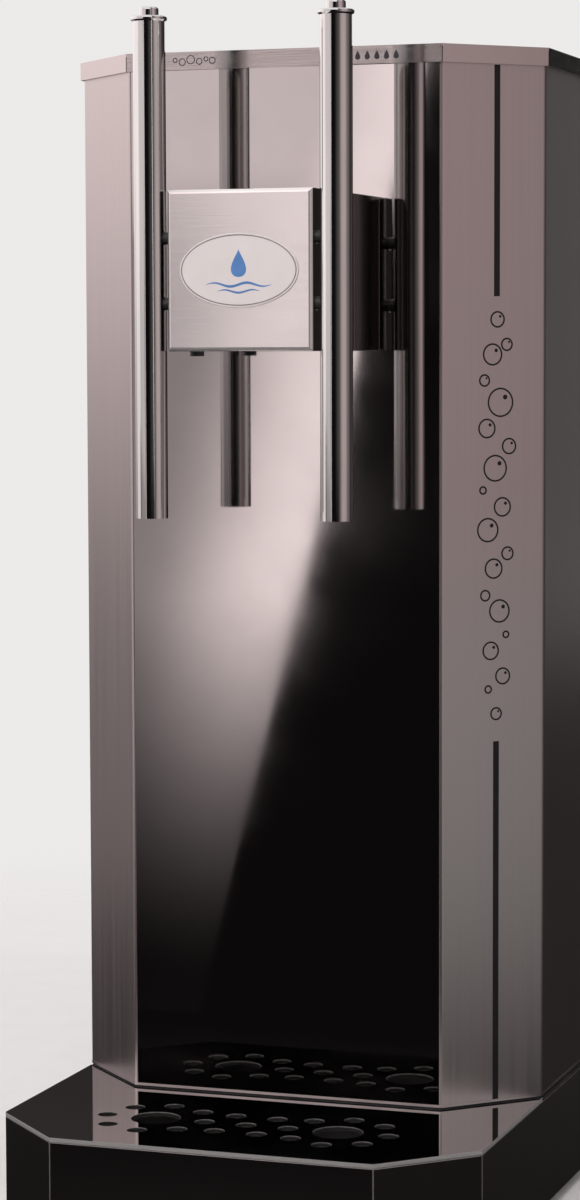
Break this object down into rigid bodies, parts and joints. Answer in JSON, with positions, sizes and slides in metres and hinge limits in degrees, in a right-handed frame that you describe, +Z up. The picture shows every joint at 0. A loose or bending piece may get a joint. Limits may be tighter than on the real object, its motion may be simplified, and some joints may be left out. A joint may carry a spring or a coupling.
{
  "type": "sparkling water maker",
  "caption": "Countertop sparkling water dispenser: chamfered steel tower with a square valve head, upright tap tubes with push buttons and a lift-off draining deck over a drip pan.",
  "frame": {"origin": "centre of the footprint on the surface that the rubber feet stand on", "axes": "+X to the right seen from the front, +Y to the back, +Z up; the front panel and the taps face -Y"},
  "size_m": [0.2536, 0.305, 0.6146],
  "materials": {
    "mirror_steel": "mirror polished stainless steel",
    "satin_steel": "fine vertical satin grain",
    "plain_steel": "mill finish stainless steel",
    "screw_steel": "zinc plated",
    "black_steel": "blackened",
    "chrome": "bright chrome",
    "brass": "turned",
    "rubber": "matte",
    "black_plastic": "moulded",
    "hose": "flexible polyethylene tube",
    "badge_white": "gloss enamel"
  },
  "bodies": {
    "cabinet": {"base_skirt": "mirror_steel", "base_plate": "plain_steel", "rubber_feet": "rubber", "foot_screws": "screw_steel", "drip_pan": "plain_steel", "drain_hose": "hose", "drain_outlet": "black_plastic", "tower_floor": "plain_steel", "foot_seal": "rubber", "front_panel": "mirror_steel", "left_side_panel": "satin_steel", "right_side_panel": "satin_steel", "rear_panel": "satin_steel", "rear_screws": "screw_steel", "bulkhead_nuts": "brass", "top_cap": "satin_steel", "head_housing": "satin_steel", "head_cover": "satin_steel", "badge_plate": "badge_white", "valve_block": "brass", "head_screws": "screw_steel", "cover_screw": "black_steel", "tube_stays": "black_steel", "left_spigot": "black_steel", "right_spigot": "black_steel", "left_tap_tube": "chrome", "left_tap_cap": "chrome", "left_gland": "brass", "left_gland_seal": "rubber", "left_return_spring": "plain_steel", "left_valve_seat": "brass", "left_outlet_nozzle": "black_plastic", "right_tap_tube": "chrome", "right_tap_cap": "chrome", "right_gland": "brass", "right_gland_seal": "rubber", "right_return_spring": "plain_steel", "right_valve_seat": "brass", "right_outlet_nozzle": "black_plastic", "water_inlet": "brass", "gas_inlet": "brass", "carbonation_vessel": "plain_steel", "vessel_screws": "screw_steel", "water_check_valve": "brass", "gas_check_valve": "brass", "relief_valve": "brass", "tee_fitting": "brass", "water_hose_lower": "hose", "water_hose_upper": "hose", "still_hose": "hose", "soda_hose": "hose", "gas_hose": "hose"},
    "left_push": {"left_button": "chrome", "left_push_rod": "plain_steel", "left_poppet": "rubber"},
    "right_push": {"right_button": "chrome", "right_push_rod": "plain_steel", "right_poppet": "rubber"},
    "deck": {"deck_plate": "mirror_steel", "deck_rim": "plain_steel"}
  },
  "joints": [
    {"name": "left_button_press", "type": "slide", "parent": "cabinet", "child": "left_push", "axis": [0, 0, -1], "range_m": [0, 0.004], "stiffness_N_per_m": 600, "springref_m": -0.004, "deforming": ["left_return_spring"]},
    {"name": "right_button_press", "type": "slide", "parent": "cabinet", "child": "right_push", "axis": [0, 0, -1], "range_m": [0, 0.004], "stiffness_N_per_m": 600, "springref_m": -0.004, "deforming": ["right_return_spring"]},
    {"name": "deck_lift", "type": "slide", "parent": "cabinet", "child": "deck", "axis": [0, 0, 1], "range_m": [0, 0.06]}
  ]
}
